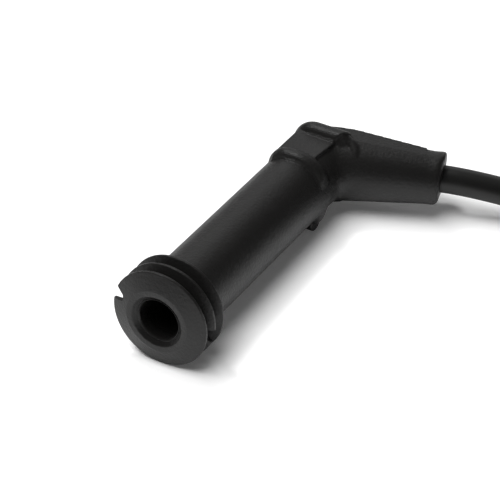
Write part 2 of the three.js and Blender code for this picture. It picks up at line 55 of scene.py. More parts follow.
# Plug boot, in millimetres: its barrel runs along its own Y axis from the mouth's face
BARREL_RADIUS = 9.15
BARREL_END = 67.0
BARREL_RINGS = (30.0, 48.0)
BORE_RADIUS = 5.4
BORE_DEPTH = 27.0
LEAD_BORE = 3.62
CHAMBER_RADIUS = 5.0
CHAMBER = (27.5, 49.3)
LAND_RADIUS = 8.1
FLARE_RADIUS = 6.7
LIP_RADIUS = 5.15
LIP_CORNERS = ((0.0, 3.5, 0.5), (0.0, 1.2, 0.2), (0.3, 0.75, 0.08), (0.6, 1.15, 0.15))
FIN_RADIUS = 12.4
FIN_PITCH = 3.7
FIN_SWEEP = 1.4
FIN_EDGE = 0.8
FIN_ROOT = 1.9
FIN_COUNT = 3
NOTCH_ANGLES = (-75.0, 102.0)
NOTCH_WIDTH = 3.9
NOTCH_BOTTOM = 1.6
NOTCH_DEPTH = 2.8
NOTCH_ROUND = 0.7
COLLAR_START = 63.0
COLLAR_WIDTH = 4.3
COLLAR_RADIUS = 10.65
COLLAR_PAD = 10.6
RIM_START = 76.2
RIM_WIDTH = 5.1
RIM_RADIUS = 11.1
RIM_PAD = 10.9
BEAD_FADE = (14.0, 50.0)
BEAD_FADED = 0.1
BEAD_FOOT = 1.5
BEAD_SPACING = 0.5
BEAD_SIDES = 32
LEDGE = 0.36
RIM_CREST = (
    (5.6, 78.7, 10.5),
    (7.2, 79.2, 9.6),
    (8.6, 79.1, 9.0),
    (9.8, 78.3, 8.2),
    (10.6, 77.3, 7.2),
    (10.9, 76.4, 5.9),
)
RIM_CREST_RADIUS = 1.5
RIM_UNDERSIDE_SUNK = 0.6
CREASE = ((3.2, 63.0), (4.4, 76.2), (6.2, 79.0))
SLEEVE_CREASE = 0.55
BEND_CENTRE_Y = 78.2
BEND_ANGLE = 71.0
BEND_RADIUS = 15.0
SLEEVE_LENGTH = 31.8
SLEEVE_ROOT = 9.3
SLEEVE_TIP = 6.6
SLEEVE_LIP = 6.9
END_SLANT = (0.3, 0.06)
END_LOW_SIDE = (0.592, 0.806)
LIP_START = 29.2
LIP_TOP = 30.0
SLANT_FROM = 20.0
SLANT_OVER = 8.0
ELBOW_START = 57.0
ELBOW_FULL = 61.0
BORE_PATH_START = (48, 53, 58)
BEND_FILLET = 3.0
WEB_RADIUS = 6.5
PAD_CORNER = 3.4
LEAN = 1.2
FLAT_HEIGHT = 9.0
FLAT_LEVEL_TO = 3.0
FLAT_SETTLE = 0.12
FLAT_RUN_OUT = (26.2, 30.2)
FLAT_RISE = 1.6
BLOCK_ON_SLEEVE = ((26.4, SLEEVE_CREASE), (26.4, -2.8), (8, -4.6))
BACK_REACH = 6.0
CORNER_RADIUS = 2.4
PLUG_MOUNT_OFFSET = 7.4
EASE_FROM = (3.0, 66.0)
EASE_HEIGHT = 9.0
EASE_REACH = 30.0
EASE_ROUNDS = 220
SOFTEN_ROUNDS = 4
CORNER_STEPS = 6

# Coil boot, in millimetres, from its mouth's face
COIL_BOOT_LENGTH = 39.0
COIL_MOUNT_OFFSET = 6.85
COIL_BOOT_RADIUS = 7.6
COIL_MOUTH_RADIUS = 8.3
COIL_RIB_RADIUS = 8.1
COIL_NECK_RADIUS = 6.2
COIL_BORE_RADIUS = 5.4

# Lead's route, in millimetres on the floor: the free points are the part's, the turns worked out
LEAD_RADIUS = 3.5
LEAD_SPACING = 1.0
LEAD_SIDES = 40
INSIDE_SLEEVE = 6.7
PAST_SLEEVE = 2.0
INSIDE_COIL_BOOT = 3.7
RUN_POINTS = (
    (33.5, 45.4, 8.8),
    (43.8, 48.35, 7.1),
    (53.7, 51.1, 5.2),
    (63.1, 53.65, 3.9),
)
TAIL_POINTS = (
    (78.4, 56.05, 17.75),
    (84.6, 56.85, 19.2),
    (90.6, 56.15, 21.4),
)
COIL_CENTRE = (97.2, 21.65)
COIL_RADIUS = 40.0
COIL_START_ANGLE = 105.6
COIL_SWEEP = 700.0
CLIMB = (295.0, 43.0)
TIE_ANGLE = -62.0
TIE_LIFT = 0.95
TIE_SPREAD = 24.0
TURN_STEP = 10

# Photograph's camera: focal length and the front fin's centre, in pixels of its 500 pixel frame
PHOTO_SIZE = 500
PHOTO_FOCAL = 2200
PHOTO_ANCHOR = (159.5, 319.0)
CAMERA_AZIMUTH = 30.0
CAMERA_ELEVATION = 35.8
CAMERA_DISTANCE = 501.6
SENSOR = 36.0
CLIPPING = (0.01, 20.0)

# Stage, in metres: each lamp's place and size, pointing at the origin
FLOOR_REACH = 3.0
FLOOR_GLOW = 0.06
WORLD_LIGHT = 0.06
KEY_LAMP = ((-0.14, -0.2, 0.78), (0.7, 0.5))
EDGE_LAMP = ((-0.36, 0.15, 0.8), (0.14, 0.14))
BACK_LAMP = ((-0.35, 0.8, 0.5), (0.8, 0.6))


class BootSettings(bpy.types.PropertyGroup):
    rubber: FloatVectorProperty(
        name="Rubber", description="Colour of the moulded boots", subtype="COLOR",
        size=3, min=0, max=1, default=(0.0076, 0.0073, 0.007))
    roughness: FloatProperty(
        name="Roughness", description="Roughness of the moulded rubber", min=0, max=1, default=0.44)
    grain: FloatProperty(
        name="Grain", description="Height of the moulded grain", unit="LENGTH", default=0.00011)
    voxel: FloatProperty(
        name="Blend size", description="Cell that softens the elbow's corners, in millimetres",
        min=0.15, max=1, default=0.22)
    steps: IntProperty(
        name="Turned steps", description="Facets round a turned form", min=24, max=256, default=144)


class LeadSettings(bpy.types.PropertyGroup):
    jacket: FloatVectorProperty(
        name="Jacket", description="Colour of the lead's jacket", subtype="COLOR",
        size=3, min=0, max=1, default=(0.0068, 0.0066, 0.0063))
    roughness: FloatProperty(
        name="Roughness", description="Roughness of the lead's jacket", min=0, max=1, default=0.42)


class StageSettings(bpy.types.PropertyGroup):
    floor: FloatProperty(
        name="Floor", description="Brightness of the pale floor", min=0, max=1, default=0.8)
    key: FloatProperty(
        name="Key light", description="Power of the soft light overhead", unit="POWER", default=7.5)
    edge: FloatProperty(
        name="Edge light", description="Power of the small lamp that draws the edges", unit="POWER",
        default=2.0)
    back: FloatProperty(
        name="Back light", description="Power of the panel behind on the left", unit="POWER", default=1.0)


class Value:
    """A node's output socket, so that shader maths reads as sums."""

    def __init__(self, finish, socket):
        self.finish = finish
        self.socket = socket

    def math(self, operation, first, second):
        return self.finish.node("ShaderNodeMath", {"operation": operation}, {0: first, 1: second})

    def __add__(self, other):
        return self.math("ADD", self, other)

    __radd__ = __add__

    def __sub__(self, other):
        return self.math("SUBTRACT", self, other)

    def __rsub__(self, other):
        return self.math("SUBTRACT", other, self)

    def __mul__(self, other):
        return self.math("MULTIPLY", self, other)

    __rmul__ = __mul__


class Finish:
    """A material built from nodes."""

    def __init__(self, name):
        self.material = bpy.data.materials.new(name)
        self.material.use_nodes = True
        self.tree = self.material.node_tree
        self.tree.nodes.clear()

    def node(self, kind, settings=None, inputs=None, output=0):
        made = self.tree.nodes.new(kind)
        for name, setting in (settings or {}).items():
            if name == "stops":
                self.set_stops(made.color_ramp, setting)
            else:
                setattr(made, name, setting)
        for key, value in (inputs or {}).items():
            if isinstance(value, Value):
                self.tree.links.new(value.socket, made.inputs[key])
            else:
                made.inputs[key].default_value = value
        return Value(self, made.outputs[output]) if made.outputs else None

    def set_stops(self, ramp, stops):
        while len(ramp.elements) < len(stops):
            ramp.elements.new(1)
        for element, (position, shade) in zip(ramp.elements, stops):
            element.position = position
            element.color = (shade, shade, shade, 1)

    def noise(self, scale, detail=2.0, roughness=0.5, distortion=0.0, stretch=None):
        place = self.place
        if stretch:
            place = self.node("ShaderNodeMapping", {}, {"Vector": place, "Scale": stretch})
        return self.node("ShaderNodeTexNoise", {}, {
            "Vector": place, "Scale": scale, "Detail": detail,
            "Roughness": roughness, "Distortion": distortion})

    def ramp(self, factor, *stops):
        return self.node("ShaderNodeValToRGB", {"stops": stops}, {0: factor})

    @property
    def place(self):
        return self.node("ShaderNodeTexCoord", output=3)

    def tint(self, factor, low, high):
        return self.node("ShaderNodeMix", {"data_type": "RGBA"}, {
            0: factor, 6: (*low, 1), 7: (*high, 1)}, output=2)

    def bump(self, height, distance):
        return self.node("ShaderNodeBump", {}, {"Height": height, "Distance": distance})

    def surface(self, **sockets):
        inputs = {name.replace("_", " "): value for name, value in sockets.items()}
        shader = self.node("ShaderNodeBsdfPrincipled", {}, inputs)
        self.node("ShaderNodeOutputMaterial", {}, {0: shader})
        return self.material


def shades(colour, low, high):
    """A colour darkened and lightened by two factors."""
    return [c * low for c in colour], [c * high for c in colour]


def boot_rubber():
    """Black moulded rubber: fine grain, faint flow marks and a few scuffs."""
    boot = bpy.context.scene.plug_wire_boot
    finish = Finish("boot_rubber")
    grain = finish.noise(3000, 3, 0.6)
    mottle = finish.noise(160, 4, 0.6)
    fine = finish.noise(1250, 3, 0.6)
    scuffs = finish.ramp(finish.noise(900, 3, 0.6, 0.4, stretch=(1, 0.06, 1)), (0.68, 0), (0.8, 1))
    dark, pale = shades(boot.rubber, 0.75, 1.3)
    colour = finish.tint(mottle * 0.6 + fine * 0.4, dark, pale)
    rough = boot.roughness + (mottle - 0.5) * 0.12 + (grain - 0.5) * 0.14 - scuffs * 0.05
    height = grain * 0.5 + fine * 1.1 + scuffs * -0.3
    return finish.surface(
        Base_Color=colour, Roughness=rough, Specular_IOR_Level=0.5,
        Normal=finish.bump(height, boot.grain))


def lead_jacket():
    """Extruded jacket: smoother than the boots, with a faint mottle and a fine grain."""
    lead = bpy.context.scene.plug_wire_lead
    finish = Finish("lead_jacket")
    mottle = finish.noise(120, 3, 0.5)
    fine = finish.noise(2600, 2, 0.5)
    dark, pale = shades(lead.jacket, 0.8, 1.25)
    rough = lead.roughness + (mottle - 0.5) * 0.1 + (fine - 0.5) * 0.1
    return finish.surface(
        Base_Color=finish.tint(mottle, dark, pale), Roughness=rough,
        Normal=finish.bump(fine, 0.00001))


def metal(name, colour, roughness):
    """Pressed or drawn metal with fine brushing and slight tarnish."""
    finish = Finish(name)
    brushed = finish.noise(1800, 2, 0.5, stretch=(1, 0.08, 1))
    tarnish = finish.noise(260, 4, 0.6)
    dark, pale = shades(colour, 0.72, 1.08)
    return finish.surface(
        Base_Color=finish.tint(tarnish, dark, pale), Metallic=1.0,
        Roughness=roughness + (brushed - 0.5) * 0.2 + (tarnish - 0.5) * 0.15,
        Normal=finish.bump(brushed, 0.000008))


def core_fibre():
    """Carbon loaded fibre core: a dull twisted bundle."""
    finish = Finish("lead_core")
    strands = finish.noise(2400, 2, 0.5, stretch=(1, 0.2, 1))
    return finish.surface(
        Base_Color=finish.tint(strands, (0.012, 0.012, 0.011), (0.04, 0.038, 0.034)),
        Roughness=0.7 + strands * 0.2, Normal=finish.bump(strands, 0.00004))


def tie_nylon():
    """Moulded black nylon."""
    finish = Finish("tie_plastic")
    mottle = finish.noise(600, 3, 0.5)
    return finish.surface(
        Base_Color=finish.tint(mottle, (0.012, 0.012, 0.012), (0.024, 0.024, 0.023)),
        Roughness=0.35 + mottle * 0.15, Normal=finish.bump(mottle, 0.00001))


def mount_point(name):
    """A record mount's point and outward axis."""
    mount = next(m for m in frame["record"]["mounts"] if m["name"] == name)
    return Vector(mount["pos_m"]), Vector(mount["axis"])


def boot_matrix(name, side, offset, lean):
    """Where a boot's own frame lies, in metres: origin at its mouth, Y along its barrel."""
    point, outward = mount_point(name)
    across = Vector(side)
    along = -outward.normalized()
    up = across.cross(along)
    upright = Matrix((across, along, up)).transposed().to_4x4()
    turn = upright @ Matrix.Rotation(math.radians(lean), 4, "Y")
    return Matrix.Translation(point - turn @ Vector((offset * MM, 0, 0))) @ turn


def plug_matrix():
    return boot_matrix("plug_mouth_face", (1, 0, 0), PLUG_MOUNT_OFFSET, LEAN)


def coil_matrix():
    return boot_matrix("coil_mouth_face", (0, 1, 0), COIL_MOUNT_OFFSET, 0)


def piece_from(name, points, faces):
    """A new mesh piece."""
    mesh = bpy.data.meshes.new(name)
    mesh.from_pydata([tuple(p) for p in points], [], faces)
    mesh.validate()
    piece = bpy.data.objects.new(name, mesh)
    bpy.context.scene.collection.objects.link(piece)
    return piece


def rise(t):
    """Eases from 0 to 1 as t goes from 0 to 1."""
    t = max(0.0, min(1.0, t))
    return t * t * (3 - 2 * t)


def arc(centre_x, centre_y, radius, start, end, steps=8):
    """Points of a round, angles in degrees."""
    points = []
    for i in range(steps + 1):
        angle = math.radians(start + (end - start) * i / steps)
        points.append((centre_x + radius * math.cos(angle), centre_y + radius * math.sin(angle)))
    return points


def softened(corners):
    """A closed outline with each (x, y, radius) corner rounded."""
    points = []
    count = len(corners)
    for i, (x, y, radius) in enumerate(corners):
        here = Vector((x, y))
        if radius == 0:
            points.append((x, y))
            continue
        before = Vector(corners[i - 1][:2]) - here
        after = Vector(corners[(i + 1) % count][:2]) - here
        half = before.angle(after) / 2
        reach = min(radius / math.tan(half), before.length * 0.49, after.length * 0.49)
        start = here + before.normalized() * reach
        end = here + after.normalized() * reach
        for k in range(CORNER_STEPS + 1):
            t = k / CORNER_STEPS
            point = start * (1 - t) ** 2 + here * 2 * t * (1 - t) + end * t ** 2
            points.append(tuple(point))
    return points


def turned(name, profile, steps):
    """A solid of revolution about Y from (radius, y) points, closed or ending on the axis."""
    rings = []
    points = []
    for radius, y in profile:
        if radius < 1e-6:
            rings.append([len(points)])
            points.append((0, y, 0))
            continue
        rings.append(list(range(len(points), len(points) + steps)))
        for i in range(steps):
            angle = 2 * math.pi * i / steps
            points.append((radius * math.sin(angle), y, radius * math.cos(angle)))
    faces = []
    open_ended = len(rings[0]) == 1 and len(rings[-1]) == 1
    pairs = list(zip(rings, rings[1:])) + ([] if open_ended else [(rings[-1], rings[0])])
    for low, high in pairs:
        for i in range(steps):
            j = (i + 1) % steps
            if len(low) == 1 and len(high) == 1:
                continue
            if len(low) == 1:
                faces.append((low[0], high[j], high[i]))
            elif len(high) == 1:
                faces.append((low[i], low[j], high[0]))
            else:
                faces.append((low[i], low[j], high[j], high[i]))
    return piece_from(name, points, faces)


def prism(name, outline, low, high):
    """An outline in plan, from z = low to z = high."""
    count = len(outline)
    points = [(x, y, low) for x, y in outline] + [(x, y, high) for x, y in outline]
    faces = [tuple(range(count))[::-1], tuple(range(count, 2 * count))]
    for i in range(count):
        j = (i + 1) % count
        faces.append((i, j, count + j, count + i))
    return piece_from(name, points, faces)


def smooth_path(points, spacing):
    """Points of a smooth curve through the given ones, evenly spaced."""
    knots = [Vector(p) for p in points]
    knots = [2 * knots[0] - knots[1], *knots, 2 * knots[-1] - knots[-2]]
    dense = []
    for a, b, c, d in zip(knots, knots[1:], knots[2:], knots[3:]):
        times = [0.0]
        for p, q in ((a, b), (b, c), (c, d)):
            times.append(times[-1] + math.sqrt((q - p).length))
        t0, t1, t2, t3 = times
        for i in range(24):
            t = t1 + (t2 - t1) * i / 24
            a1 = a.lerp(b, (t - t0) / (t1 - t0))
            a2 = b.lerp(c, (t - t1) / (t2 - t1))
            a3 = c.lerp(d, (t - t2) / (t3 - t2))
            b1 = a1.lerp(a2, (t - t0) / (t2 - t0))
            b2 = a2.lerp(a3, (t - t1) / (t3 - t1))
            dense.append(b1.lerp(b2, (t - t1) / (t2 - t1)))
    dense.append(knots[-2])
    return even_path(dense, spacing)


def even_path(dense, spacing):
    """The same path with its points evenly spaced."""
    lengths = [0.0]
    for p, q in zip(dense, dense[1:]):
        lengths.append(lengths[-1] + (q - p).length)
    count = max(2, round(lengths[-1] / spacing))
    path = []
    k = 0
    for i in range(count + 1):
        target = lengths[-1] * i / count
        while k < len(lengths) - 2 and lengths[k + 1] < target:
            k += 1
        span = lengths[k + 1] - lengths[k]
        path.append(dense[k].lerp(dense[k + 1], (target - lengths[k]) / span if span else 0))
    return path


def tube(name, path, radius, sides, taper=1.0):
    """A closed tube along a path, its radius changing to taper times as much at its end."""
    points = []
    faces = []
    side = None
    for i, here in enumerate(path):
        ahead = path[min(i + 1, len(path) - 1)] - path[max(i - 1, 0)]
        ahead.normalize()
        if side is None:
            side = ahead.orthogonal().normalized()
        side = (side - ahead * side.dot(ahead)).normalized()
        other = ahead.cross(side)
        reach = radius * (1 + (taper - 1) * i / (len(path) - 1))
        for k in range(sides):
            angle = 2 * math.pi * k / sides
            points.append(here + side * reach * math.cos(angle) + other * reach * math.sin(angle))
    for i in range(len(path) - 1):
        for k in range(sides):
            j = (k + 1) % sides
            a = i * sides
            b = a + sides
            faces.append((a + k, a + j, b + j, b + k))
    faces.append(tuple(range(sides))[::-1])
    last = (len(path) - 1) * sides
    faces.append(tuple(range(last, last + sides)))
    return piece_from(name, points, faces)


def discard(piece):
    """Removes a piece that was only used to shape another."""
    mesh = piece.data
    bpy.data.objects.remove(piece)
    bpy.data.meshes.remove(mesh)


def freeze(piece):
    """Keeps the result of a piece's modifiers as its mesh."""
    graph = bpy.context.evaluated_depsgraph_get()
    mesh = bpy.data.meshes.new_from_object(piece.evaluated_get(graph))
    piece.modifiers.clear()
    old = piece.data
    piece.data = mesh
    bpy.data.meshes.remove(old)
    if not mesh.polygons:
        raise RuntimeError(f"{piece.name} came out empty")
    return piece


def combine(piece, tool, operation):
    """Joins, cuts or intersects a piece with a tool piece, which is used up."""
    change = piece.modifiers.new(operation, "BOOLEAN")
    change.operation = operation
    change.solver = "MANIFOLD"
    change.object = tool
    freeze(piece)
    discard(tool)
    return piece


def twin(piece):
    """A copy of a piece with a mesh of its own."""
    copy = piece.copy()
    copy.data = piece.data.copy()
    bpy.context.scene.collection.objects.link(copy)
    return copy


def dress(piece, matrix, material, sharp=40):
    """Brings a piece modelled in millimetres to its place and gives it its finish."""
    piece.data.transform(matrix @ Matrix.Scale(MM, 4))
    piece.data.materials.clear()
    piece.data.materials.append(material)
    for face in piece.data.polygons:
        face.use_smooth = True
    piece.data.set_sharp_from_angle(angle=math.radians(sharp))
    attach(piece, "root")
    return piece


def on_sleeve(along, across, height=0.0):
    """A point in the plug boot's frame from its place along and across the sleeve."""
    angle = math.radians(BEND_ANGLE)
    return Vector((
        along * math.sin(angle) + across * math.cos(angle),
        BEND_CENTRE_Y + along * math.cos(angle) - across * math.sin(angle),
        height,
    ))


def sleeve_plan(*places):
    return [tuple(on_sleeve(along, across)[:2]) for along, across in places]


def fin_profile():
    """Outer wall of the mouth, fins and barrel, with every edge softened."""
    corners = [(FLARE_RADIUS, 0.0, 0.6), (LAND_RADIUS, 0.0, 0.5)]
    for i in range(FIN_COUNT):
        front = FIN_SWEEP + i * FIN_PITCH
        if i:
            corners.append((BARREL_RADIUS, front - FIN_SWEEP, 0.5))
        corners.append((FIN_RADIUS, front, 0.22))
        corners.append((FIN_RADIUS, front + FIN_EDGE, 0.3))
        corners.append((BARREL_RADIUS, front - FIN_SWEEP + FIN_ROOT, 0.4))
    return corners


def barrel_profile():
    """Closed section of the barrel: outer wall, then back down the bore."""
    start, end = CHAMBER
    inner = [
        *((BARREL_RADIUS, y, 0) for y in (*BARREL_RINGS, BARREL_END)),
        (LEAD_BORE + 0.4, BARREL_END, 0),
        (LEAD_BORE + 0.4, end + 0.8, 0),
        (CHAMBER_RADIUS, end, 0),
        (CHAMBER_RADIUS, start, 0),
        (BORE_RADIUS, BORE_DEPTH, 0),
        (BORE_RADIUS, 4.3, 0.4),
        *((LIP_RADIUS + wider, y, rounding) for wider, y, rounding in LIP_CORNERS),
    ]
    return softened(fin_profile() + inner)


def notch_cutter(angle, index):
    """Wedge that cuts an air notch in a fin's edge."""
    tip = FIN_RADIUS - NOTCH_DEPTH
    outer = FIN_RADIUS + 2
    slope = (NOTCH_WIDTH - NOTCH_BOTTOM) / NOTCH_DEPTH
    wide = NOTCH_WIDTH / 2 + slope
    outline = softened([
        (-NOTCH_BOTTOM / 2, tip, NOTCH_ROUND), (NOTCH_BOTTOM / 2, tip, NOTCH_ROUND),
        (wide, outer, 0), (-wide, outer, 0)])
    length = FIN_SWEEP + FIN_EDGE + 0.3
    cutter = prism("notch", outline, 0, length)
    stand = Matrix.Rotation(math.radians(90), 4, "X")
    place = Matrix.Translation((0, index * FIN_PITCH + length, 0))
    spin = Matrix.Rotation(math.radians(angle), 4, "Y")
    cutter.data.transform(spin @ place @ stand)
    return cutter


def bead_section(middle, width, foot, top):
    """Half section of a round bead as (height, y) points, from its front foot over its crown."""
    return [(foot + (top - foot) * math.sin(t), middle - width / 2 * math.cos(t))
            for t in (math.pi * i / 16 for i in range(17))]


def bead_ring(name, start, width, radius):
    """A round bead round the barrel with a narrow ledge before it, fading inside the bend."""
    wall = BARREL_RADIUS
    inner = wall - BEAD_FOOT
    ring = turned(name, [
        (inner, start - LEDGE), (wall, start - LEDGE), (wall + LEDGE, start - LEDGE + 0.1),
        (wall + LEDGE, start + 0.1), *bead_section(start + width / 2, width, wall, radius)[2:],
        (inner, start + width)], 128)
    fade_from, fade_to = BEAD_FADE
    for vertex in ring.data.vertices:
        x, y, z = vertex.co
        turn = math.degrees(math.atan2(abs(z), x))
        reach = math.hypot(x, z)
        if reach > wall:
            share = rise((turn - fade_from) / (fade_to - fade_from))
            kept = wall - BEAD_FADED + (reach - wall + BEAD_FADED) * share
            vertex.co = (x * kept / reach, y, z * kept / reach)
    return ring


def bead_loop(name, start, width, height, right, under_right, under_drop):
    """The bead on the outer side: a round rib over the flat, round its corners and down its back."""
    sink = 0.6
    loops = []
    for middle, half, top in ((start + width / 2, width / 2, height), (start, LEDGE, FLAT_HEIGHT + LEDGE)):
        level = FLAT_HEIGHT - sink
        low = under_drop - level
        back = -BACK_REACH + sink
        path = [(under_right, low), *arc(back + PAD_CORNER, low + PAD_CORNER, PAD_CORNER, -90, -180, 12),
                *arc(back + PAD_CORNER, level - PAD_CORNER, PAD_CORNER, 180, 90, 12), (right, level)]
        radius = top - level
        spine = even_path([Vector((x, 0, z)) for x, z in path], BEAD_SPACING)
        rib = tube(name, spine, radius, BEAD_SIDES)
        stretch = half / math.sqrt(radius * radius - sink * sink)
        rib.data.transform(Matrix.Translation((0, middle, 0)) @ Matrix.Diagonal((1, stretch, 1, 1)))
        loops.append(rib)
    return combine(*loops, "UNION")


def flat_line():
    """Height of the flats along the sleeve, with the run-out before the end lip."""
    slope = (SLEEVE_ROOT - SLEEVE_TIP) / SLEEVE_LENGTH
    start, end = FLAT_RUN_OUT
    low = FLAT_HEIGHT - slope * (start - FLAT_LEVEL_TO) - FLAT_SETTLE
    line = [(-45, FLAT_HEIGHT), (FLAT_LEVEL_TO, FLAT_HEIGHT), (start, low)]
    for i in range(1, 7):
        t = i / 6
        line.append((start + (end - start) * t, low + FLAT_RISE * t * t))
    return line


def beyond_flat(side):
    """Everything above or below the boot's flats, as a solid."""
    reach = 22
    line = flat_line()
    outline = [*line, (line[-1][0], reach), (-45, reach)]
    count = len(outline)
    points = [on_sleeve(s, c, side * z) for c in (-60, 60) for s, z in outline]
    faces = [tuple(range(count)), tuple(range(count, 2 * count))[::-1]]
    for i in range(count):
        j = (i + 1) % count
        faces.append((j, i, count + i, count + j))
    if side > 0:
        faces = [face[::-1] for face in faces]
    return piece_from("beyond_flat", points, faces)


def crease_line(overlap):
    """The parting crease in plan, from the collar over the rim to the sleeve."""
    return [*((x + overlap, y) for x, y in CREASE), *sleeve_plan((8, SLEEVE_CREASE + overlap))]


def outer_zone():
    """Plan of the boot's outer side, as far in as the parting crease."""
    end = FLAT_RUN_OUT[1]
    return [
        *crease_line(0), *sleeve_plan((end, SLEEVE_CREASE), (end, -20)), (-20, 110), (-20, COLLAR_START)]


def block_plan():
    """Plan of the flat-sided body outside the bend."""
    far = RIM_START + RIM_WIDTH - 0.5
    middle = COLLAR_START + COLLAR_WIDTH / 2
    return [
        *crease_line(0.4), *sleeve_plan(*BLOCK_ON_SLEEVE),
        *arc(-BACK_REACH + CORNER_RADIUS, far - CORNER_RADIUS, CORNER_RADIUS, 90, 180),
        (-BACK_REACH, middle), (CREASE[0][0], middle),
    ]


def bend_web():
    """The fillet that eases the inside of the bend, as a bent tube inside both walls."""
    turn = math.radians(BEND_ANGLE)
    centre = BEND_FILLET + WEB_RADIUS
    wall = BEND_FILLET + BARREL_RADIUS
    reach = wall * math.tan(turn / 2)
    path = []
    for i in range(25):
        angle = turn * i / 24
        path.append(Vector((
            wall - centre * math.cos(angle), BEND_CENTRE_Y - reach + centre * math.sin(angle), 0)))
    return tube("web", path, WEB_RADIUS, 96, 0.93)


def inner_rim(side):
    """The rim's bead where it goes on inside the bend, just under the crest's chosen points."""
    sunk = 0.93 * RIM_CREST_RADIUS + (0 if side > 0 else RIM_UNDERSIDE_SUNK)
    path = [Vector((x - 0.5, y, side * (z - sunk))) for x, y, z in RIM_CREST]
    return tube("inner_rim", smooth_path(path, BEAD_SPACING), RIM_CREST_RADIUS, BEAD_SIDES)


def bend_path():
    """The lead's way through the elbow, in the plug boot's frame."""
    turn = math.radians(BEND_ANGLE)
    reach = BEND_RADIUS * math.tan(turn / 2)
    start = BEND_CENTRE_Y - reach
    points = [(0, y, 0) for y in (*BORE_PATH_START, start - 4)]
    for i in range(7):
        angle = turn * i / 6
        points.append((BEND_RADIUS * (1 - math.cos(angle)), start + BEND_RADIUS * math.sin(angle), 0))
    points += [on_sleeve(along, 0) for along in (reach + 5, 25, SLEEVE_LENGTH + 3)]
    return smooth_path(points, 0.8)


def sleeve_matrix():
    """Turns a form made along Y onto the sleeve's axis."""
    return Matrix.Translation((0, BEND_CENTRE_Y, 0)) @ Matrix.Rotation(-math.radians(BEND_ANGLE), 4, "Z")


def slant_end(sleeve):
    """Cuts the sleeve's end a little short, more so on its lower front side."""
    short, lean = END_SLANT
    front, down = END_LOW_SIDE
    for vertex in sleeve.data.vertices:
        lower = front * vertex.co.x - down * vertex.co.z
        vertex.co.y -= (short + lean * (lower + SLEEVE_LIP)) * rise((vertex.co.y - SLANT_FROM) / SLANT_OVER)


def elbow_body():
    """The round body of the elbow: barrel end, round corner, web and sleeve."""
    steps = bpy.context.scene.plug_wire_boot.steps
    body = turned("elbow", [
        (0, ELBOW_START), (BARREL_RADIUS - 0.1, ELBOW_START), (BARREL_RADIUS, ELBOW_FULL),
        (BARREL_RADIUS, BEND_CENTRE_Y), (0, BEND_CENTRE_Y)], steps)
    corner = turned("corner", [
        (max(x, 0), BEND_CENTRE_Y + y) for x, y in arc(0, 0, SLEEVE_ROOT, -90, 90, 36)], steps)
    sleeve = turned("sleeve", softened([
        (0, 0, 0), (SLEEVE_ROOT, 0, 0), (SLEEVE_TIP + 0.15, LIP_START, 0.6),
        (SLEEVE_LIP, LIP_TOP, 0.6), (SLEEVE_LIP - 0.05, SLEEVE_LENGTH, 0.8), (0, SLEEVE_LENGTH, 0)]), steps)
    slant_end(sleeve)
    sleeve.data.transform(sleeve_matrix())
    for part in (corner, sleeve, bend_web()):
        combine(body, part, "UNION")
    inside = [vertex.index for vertex in remeshed(body).data.vertices if inside_bend(vertex.co)]
    body.vertex_groups.new(name="inside").add(inside, 1.0, "REPLACE")
    soften(body, EASE_ROUNDS, "inside")
    return body


def inside_bend(point):
    """Whether a point of the elbow is on the bend's inner side, short of the sleeve's very end."""
    half = math.radians(BEND_ANGLE / 2)
    outward = abs(point.x * math.cos(half) + (point.y - BEND_CENTRE_Y) * math.sin(half))
    right, along = EASE_FROM
    return point.x > right and point.y > along and abs(point.z) < EASE_HEIGHT and outward < EASE_REACH


def remeshed(piece):
    """The piece with its surface rebuilt in even cells."""
    cells = piece.modifiers.new("cells", "REMESH")
    cells.mode = "VOXEL"
    cells.voxel_size = bpy.context.scene.plug_wire_boot.voxel
    return freeze(piece)


def soften(piece, rounds, group=""):
    """Rounds a piece's edges and valleys, or only those of a vertex group."""
    change = piece.modifiers.new("soften", "SMOOTH")
    change.factor = 0.5
    change.iterations = rounds
    change.vertex_group = group
    return freeze(piece)


def ring_before_back(name, start, width, radius):
    """A bead's ring without the part beyond the boot's back, where the bead's loop runs."""
    plan = [(-BACK_REACH, 50), (20, 50), (20, 90), (-BACK_REACH, 90)]
    return combine(bead_ring(name, start, width, radius), prism("kept", plan, -20, 20), "INTERSECT")


def elbow_beads(zone):
    """Collar and rim: round rings inside the bend, ribs over the flats and the back outside it."""
    collar = ring_before_back("collar", COLLAR_START, COLLAR_WIDTH, COLLAR_RADIUS)
    combine(collar, bead_loop("collar_loop", COLLAR_START, COLLAR_WIDTH, COLLAR_PAD, 0, 6.3, 0), "UNION")
    rim = ring_before_back("rim", RIM_START, RIM_WIDTH, RIM_RADIUS)
    combine(rim, twin(zone), "DIFFERENCE")
    right = CREASE[-1][0] + 0.6
    loop = bead_loop("rim_loop", RIM_START, RIM_WIDTH, RIM_PAD, right, right, 1.1)
    combine(rim, combine(loop, twin(zone), "INTERSECT"), "UNION")
    for side in (1, -1):
        combine(rim, inner_rim(side), "UNION")
    return combine(collar, rim, "UNION")


def elbow():
    """Elbow with its collar, rim, flats and sleeve, softened into one moulding."""
    body = elbow_body()
    zone = prism("zone", outer_zone(), -25, 25)
    block = prism("block", block_plan(), -14, 14)
    for side in (1, -1):
        above = beyond_flat(side)
        combine(block, twin(above), "DIFFERENCE")
        combine(body, combine(above, twin(zone), "INTERSECT"), "DIFFERENCE")
    for part in (elbow_beads(zone), block):
        combine(body, part, "UNION")
    discard(zone)
    soften(remeshed(body), SOFTEN_ROUNDS)
    return body


